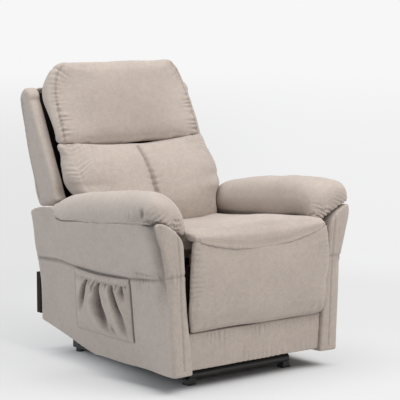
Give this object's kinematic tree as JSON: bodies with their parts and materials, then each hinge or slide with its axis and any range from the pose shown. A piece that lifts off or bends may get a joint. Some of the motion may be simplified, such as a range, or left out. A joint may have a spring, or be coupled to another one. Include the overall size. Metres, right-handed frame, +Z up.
{
  "type": "lift recliner chair",
  "caption": "Upholstered lift recliner chair with padded arms, a folding footrest, a reclining back and a powered base that raises and tilts the seat.",
  "frame": {"origin": "on the floor under the middle of the chair's overall width and depth", "axes": "+X towards the sitter's left, +Y towards the back, +Z up; the seat faces -Y"},
  "size_m": [0.8774, 0.9493, 1.066],
  "materials": {
    "upholstery": "soft woven, light taupe",
    "black_frame": "satin black powder coat",
    "zinc_links": "zinc plated",
    "wood": "sawn",
    "black_plastic": "fine grain",
    "button_plastic": "smooth",
    "polished_rod": "polished",
    "webbing": "elastic webbing",
    "black_cloth": "thin stretched lining"
  },
  "bodies": {
    "base": {"base_rail_left": "black_frame", "base_rail_right": "black_frame", "base_bracket_left": "black_frame", "base_bracket_right": "black_frame", "base_front_tube": "black_frame", "base_rear_tube": "black_frame", "front_feet": "black_frame", "rear_glides": "black_plastic"},
    "lift_arms": {"lift_arm_left": "black_frame", "lift_arm_right": "black_frame", "lift_torque_tube": "black_frame"},
    "lift_links": {"lift_link_left": "black_frame", "lift_link_right": "black_frame"},
    "lift_motor": {"lift_motor": "black_plastic"},
    "lift_rod": {"lift_rod": "polished_rod"},
    "chair": {"side_plate_left": "black_frame", "side_plate_right": "black_frame", "seat_front_rail": "black_frame", "seat_rear_rail": "black_frame", "side_rail_left": "wood", "side_rail_right": "wood", "seat_straps": "webbing", "seat_cushion": "upholstery", "arm_cover_left": "upholstery", "arm_cover_right": "upholstery", "arm_inner_left": "upholstery", "arm_inner_right": "upholstery", "arm_board_left": "wood", "arm_board_right": "wood", "arm_pad_left": "upholstery", "arm_pad_right": "upholstery", "side_pocket": "upholstery", "kick_panel": "upholstery", "rear_cover": "black_cloth", "control_box": "black_plastic", "power_inlet": "black_plastic", "handset_case": "black_plastic", "back_hinge_pins": "zinc_links"},
    "recline_motor": {"recline_motor": "black_plastic"},
    "recline_rod": {"recline_rod": "polished_rod"},
    "backrest": {"back_frame": "black_frame", "back_straps": "webbing", "back_shell": "upholstery", "head_cushion": "upholstery", "lumbar_cushion": "upholstery"},
    "fold_main": {"fold_main_link_left": "zinc_links", "fold_main_link_right": "zinc_links"},
    "fold_cross": {"fold_cross_link_left": "zinc_links", "fold_cross_link_right": "zinc_links"},
    "fold_front": {"fold_front_link_left": "zinc_links", "fold_front_link_right": "zinc_links"},
    "fold_short": {"fold_short_links": "zinc_links"},
    "fold_brace": {"fold_brace_links": "zinc_links"},
    "footrest": {"footrest_board": "wood", "footrest_pad": "upholstery", "footrest_bracket_left": "zinc_links", "footrest_bracket_right": "zinc_links"},
    "up_button": {"handset_up_button": "button_plastic"},
    "down_button": {"handset_down_button": "button_plastic"}
  },
  "joints": [
    {"name": "lift", "type": "hinge", "parent": "base", "child": "lift_arms", "pos_m": [0, -0.2, 0.095], "axis": [1, 0, 0], "range_deg": [0, 50]},
    {"name": "chair_tilt", "type": "hinge", "parent": "lift_arms", "child": "chair", "pos_m": [0, 0.205, 0.096], "axis": [1, 0, 0], "range_deg": [-25, 0]},
    {"name": "lift_link_swing", "type": "hinge", "parent": "base", "child": "lift_links", "pos_m": [0, -0.27, 0.09], "axis": [1, 0, 0], "range_deg": [0, 59]},
    {"name": "lift_motor_pitch", "type": "hinge", "parent": "base", "child": "lift_motor", "pos_m": [0, 0.3, 0.1], "axis": [1, 0, 0], "range_deg": [0, 1.5]},
    {"name": "lift_rod_stroke", "type": "slide", "parent": "lift_motor", "child": "lift_rod", "axis": [0, -0.9852, 0.1713], "range_m": [0, 0.0786]},
    {"name": "recline", "type": "hinge", "parent": "chair", "child": "backrest", "pos_m": [0, 0.283, 0.4], "axis": [-1, 0, 0], "range_deg": [0, 40]},
    {"name": "recline_motor_pitch", "type": "hinge", "parent": "chair", "child": "recline_motor", "pos_m": [0, -0.15, 0.3], "axis": [1, 0, 0], "range_deg": [-0.6, 0]},
    {"name": "recline_rod_stroke", "type": "slide", "parent": "recline_motor", "child": "recline_rod", "axis": [0, 1, 0], "range_m": [-0.0743, 0]},
    {"name": "footrest_fold", "type": "hinge", "parent": "chair", "child": "fold_main", "pos_m": [0, -0.318, 0.408], "axis": [-1, 0, 0], "range_deg": [0, 58]},
    {"name": "cross_swing", "type": "hinge", "parent": "fold_main", "child": "fold_cross", "pos_m": [0, -0.3345, 0.31444], "axis": [1, 0, 0], "range_deg": [0, 116]},
    {"name": "front_swing", "type": "hinge", "parent": "fold_main", "child": "fold_front", "pos_m": [0, -0.35099, 0.22089], "axis": [1, 0, 0], "range_deg": [0, 116]},
    {"name": "short_swing", "type": "hinge", "parent": "fold_cross", "child": "fold_short", "pos_m": [0, -0.35099, 0.408], "axis": [-1, 0, 0], "range_deg": [0, 116]},
    {"name": "brace_swing", "type": "hinge", "parent": "fold_main", "child": "fold_brace", "pos_m": [0, -0.30755, 0.20815], "axis": [1, 0, 0], "range_deg": [0, 110.2]},
    {"name": "footrest_turn", "type": "hinge", "parent": "fold_front", "child": "footrest", "pos_m": [0, -0.38399, 0.408], "axis": [-1, 0, 0], "range_deg": [0, 148]},
    {"name": "up_press", "type": "slide", "parent": "chair", "child": "up_button", "axis": [0.9972, 0, 0.0745], "range_m": [0, 0.0015], "stiffness_N_per_m": 400},
    {"name": "down_press", "type": "slide", "parent": "chair", "child": "down_button", "axis": [0.9972, 0, 0.0745], "range_m": [0, 0.0015], "stiffness_N_per_m": 400}
  ],
  "couplings": [
    {"joint": "chair_tilt", "follows": "lift", "ratio": -0.5},
    {"joint": "lift_link_swing", "follows": "lift", "ratio": 1.18},
    {"joint": "lift_motor_pitch", "follows": "lift", "ratio": 0.028},
    {"joint": "lift_rod_stroke", "follows": "lift", "m_per_rad": 0.08988},
    {"joint": "recline_motor_pitch", "follows": "recline", "ratio": -0.0129},
    {"joint": "recline_rod_stroke", "follows": "recline", "m_per_rad": -0.10627},
    {"joint": "cross_swing", "follows": "footrest_fold", "ratio": 2},
    {"joint": "front_swing", "follows": "footrest_fold", "ratio": 2},
    {"joint": "short_swing", "follows": "footrest_fold", "ratio": 2},
    {"joint": "brace_swing", "follows": "footrest_fold", "ratio": 1.899},
    {"joint": "footrest_turn", "follows": "footrest_fold", "ratio": 2.5517}
  ]
}
